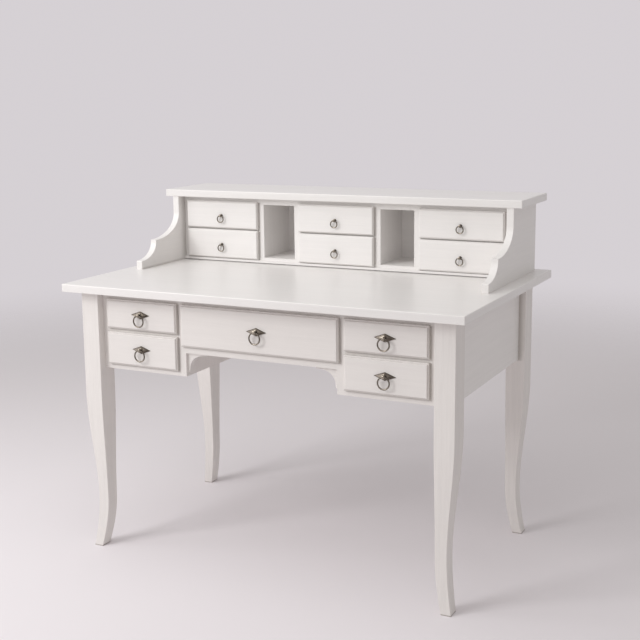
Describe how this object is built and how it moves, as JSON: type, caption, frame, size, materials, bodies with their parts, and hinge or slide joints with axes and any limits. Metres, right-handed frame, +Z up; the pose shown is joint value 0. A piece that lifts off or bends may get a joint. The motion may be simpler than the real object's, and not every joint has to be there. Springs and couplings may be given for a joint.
{
  "type": "writing desk",
  "caption": "White painted lady's writing desk on sabre legs, with drawers round a knee hole and a low superstructure of small drawers and pigeonholes between scrolled sides.",
  "frame": {"origin": "on the floor under the middle of the table top", "axes": "+X to the right of someone seated at the desk, the front faces -Y, +Z up"},
  "size_m": [1.2, 0.768, 1.016],
  "materials": {
    "painted_tops": "satin white paint, fine brushed grain",
    "painted_case": "satin white paint",
    "painted_inner_boards": "flat white paint",
    "painted_superstructure": "satin white paint",
    "painted_legs": "satin white paint",
    "painted_pigeonholes": "satin white paint",
    "painted_drawers": "satin white paint, vertical grain showing faintly",
    "pull_plates": "dark antique bronze, brightened on the edges",
    "pull_rings": "dark antique bronze, worn bright at the bottom"
  },
  "bodies": {
    "carcass": {"table_top": "painted_tops", "back_panel": "painted_case", "face_frame": "painted_case", "centre_board": "painted_inner_boards", "hutch_top": "painted_tops", "hutch_base": "painted_superstructure", "hutch_back": "painted_superstructure", "hutch_frame": "painted_superstructure", "hutch_divider_centre": "painted_inner_boards", "leg_front_right": "painted_legs", "leg_front_left": "painted_legs", "leg_rear_right": "painted_legs", "leg_rear_left": "painted_legs", "side_panel_right": "painted_case", "side_panel_left": "painted_case", "partition_right": "painted_inner_boards", "partition_left": "painted_inner_boards", "drawer_board_lower_right": "painted_inner_boards", "drawer_board_lower_left": "painted_inner_boards", "drawer_board_upper_right": "painted_inner_boards", "drawer_board_upper_left": "painted_inner_boards", "hutch_side_right": "painted_superstructure", "hutch_side_left": "painted_superstructure", "pigeonhole_right": "painted_pigeonholes", "pigeonhole_left": "painted_pigeonholes", "hutch_divider_right": "painted_inner_boards", "hutch_divider_left": "painted_inner_boards"},
    "drawer_left_lower": {"drawer_left_lower": "painted_drawers", "plate_left_lower": "pull_plates"},
    "ring_left_lower": {"ring_left_lower": "pull_rings"},
    "drawer_left_upper": {"drawer_left_upper": "painted_drawers", "plate_left_upper": "pull_plates"},
    "ring_left_upper": {"ring_left_upper": "pull_rings"},
    "drawer_centre": {"drawer_centre": "painted_drawers", "plate_centre": "pull_plates"},
    "ring_centre": {"ring_centre": "pull_rings"},
    "drawer_right_lower": {"drawer_right_lower": "painted_drawers", "plate_right_lower": "pull_plates"},
    "ring_right_lower": {"ring_right_lower": "pull_rings"},
    "drawer_right_upper": {"drawer_right_upper": "painted_drawers", "plate_right_upper": "pull_plates"},
    "ring_right_upper": {"ring_right_upper": "pull_rings"},
    "small_drawer_left_lower": {"small_drawer_left_lower": "painted_drawers", "small_stud_left_lower": "pull_plates"},
    "small_ring_left_lower": {"small_ring_left_lower": "pull_rings"},
    "small_drawer_left_upper": {"small_drawer_left_upper": "painted_drawers", "small_stud_left_upper": "pull_plates"},
    "small_ring_left_upper": {"small_ring_left_upper": "pull_rings"},
    "small_drawer_centre_lower": {"small_drawer_centre_lower": "painted_drawers", "small_stud_centre_lower": "pull_plates"},
    "small_ring_centre_lower": {"small_ring_centre_lower": "pull_rings"},
    "small_drawer_centre_upper": {"small_drawer_centre_upper": "painted_drawers", "small_stud_centre_upper": "pull_plates"},
    "small_ring_centre_upper": {"small_ring_centre_upper": "pull_rings"},
    "small_drawer_right_lower": {"small_drawer_right_lower": "painted_drawers", "small_stud_right_lower": "pull_plates"},
    "small_ring_right_lower": {"small_ring_right_lower": "pull_rings"},
    "small_drawer_right_upper": {"small_drawer_right_upper": "painted_drawers", "small_stud_right_upper": "pull_plates"},
    "small_ring_right_upper": {"small_ring_right_upper": "pull_rings"}
  },
  "joints": [
    {"name": "drawer_left_lower_slide", "type": "slide", "parent": "carcass", "child": "drawer_left_lower", "axis": [0, -1, 0], "range_m": [0, 0.37]},
    {"name": "ring_left_lower_swing", "type": "hinge", "parent": "drawer_left_lower", "child": "ring_left_lower", "pos_m": [-0.371, -0.3403, 0.6075], "axis": [-1, 0, 0], "range_deg": [0, 110]},
    {"name": "drawer_left_upper_slide", "type": "slide", "parent": "carcass", "child": "drawer_left_upper", "axis": [0, -1, 0], "range_m": [0, 0.37]},
    {"name": "ring_left_upper_swing", "type": "hinge", "parent": "drawer_left_upper", "child": "ring_left_upper", "pos_m": [-0.371, -0.3403, 0.707], "axis": [-1, 0, 0], "range_deg": [0, 110]},
    {"name": "drawer_centre_slide", "type": "slide", "parent": "carcass", "child": "drawer_centre", "axis": [0, -1, 0], "range_m": [0, 0.37]},
    {"name": "ring_centre_swing", "type": "hinge", "parent": "drawer_centre", "child": "ring_centre", "pos_m": [0, -0.3403, 0.69025], "axis": [-1, 0, 0], "range_deg": [0, 110]},
    {"name": "drawer_right_lower_slide", "type": "slide", "parent": "carcass", "child": "drawer_right_lower", "axis": [0, -1, 0], "range_m": [0, 0.37]},
    {"name": "ring_right_lower_swing", "type": "hinge", "parent": "drawer_right_lower", "child": "ring_right_lower", "pos_m": [0.371, -0.3403, 0.6075], "axis": [-1, 0, 0], "range_deg": [0, 110]},
    {"name": "drawer_right_upper_slide", "type": "slide", "parent": "carcass", "child": "drawer_right_upper", "axis": [0, -1, 0], "range_m": [0, 0.37]},
    {"name": "ring_right_upper_swing", "type": "hinge", "parent": "drawer_right_upper", "child": "ring_right_upper", "pos_m": [0.371, -0.3403, 0.707], "axis": [-1, 0, 0], "range_deg": [0, 110]},
    {"name": "small_drawer_left_lower_slide", "type": "slide", "parent": "carcass", "child": "small_drawer_left_lower", "axis": [0, -1, 0], "range_m": [0, 0.11]},
    {"name": "small_ring_left_lower_swing", "type": "hinge", "parent": "small_drawer_left_lower", "child": "small_ring_left_lower", "pos_m": [-0.39425, 0.1562, 0.844], "axis": [-1, 0, 0], "range_deg": [0, 110]},
    {"name": "small_drawer_left_upper_slide", "type": "slide", "parent": "carcass", "child": "small_drawer_left_upper", "axis": [0, -1, 0], "range_m": [0, 0.11]},
    {"name": "small_ring_left_upper_swing", "type": "hinge", "parent": "small_drawer_left_upper", "child": "small_ring_left_upper", "pos_m": [-0.39425, 0.1562, 0.9355], "axis": [-1, 0, 0], "range_deg": [0, 110]},
    {"name": "small_drawer_centre_lower_slide", "type": "slide", "parent": "carcass", "child": "small_drawer_centre_lower", "axis": [0, -1, 0], "range_m": [0, 0.11]},
    {"name": "small_ring_centre_lower_swing", "type": "hinge", "parent": "small_drawer_centre_lower", "child": "small_ring_centre_lower", "pos_m": [0, 0.1562, 0.844], "axis": [-1, 0, 0], "range_deg": [0, 110]},
    {"name": "small_drawer_centre_upper_slide", "type": "slide", "parent": "carcass", "child": "small_drawer_centre_upper", "axis": [0, -1, 0], "range_m": [0, 0.11]},
    {"name": "small_ring_centre_upper_swing", "type": "hinge", "parent": "small_drawer_centre_upper", "child": "small_ring_centre_upper", "pos_m": [0, 0.1562, 0.9355], "axis": [-1, 0, 0], "range_deg": [0, 110]},
    {"name": "small_drawer_right_lower_slide", "type": "slide", "parent": "carcass", "child": "small_drawer_right_lower", "axis": [0, -1, 0], "range_m": [0, 0.11]},
    {"name": "small_ring_right_lower_swing", "type": "hinge", "parent": "small_drawer_right_lower", "child": "small_ring_right_lower", "pos_m": [0.39425, 0.1562, 0.844], "axis": [-1, 0, 0], "range_deg": [0, 110]},
    {"name": "small_drawer_right_upper_slide", "type": "slide", "parent": "carcass", "child": "small_drawer_right_upper", "axis": [0, -1, 0], "range_m": [0, 0.11]},
    {"name": "small_ring_right_upper_swing", "type": "hinge", "parent": "small_drawer_right_upper", "child": "small_ring_right_upper", "pos_m": [0.39425, 0.1562, 0.9355], "axis": [-1, 0, 0], "range_deg": [0, 110]}
  ]
}
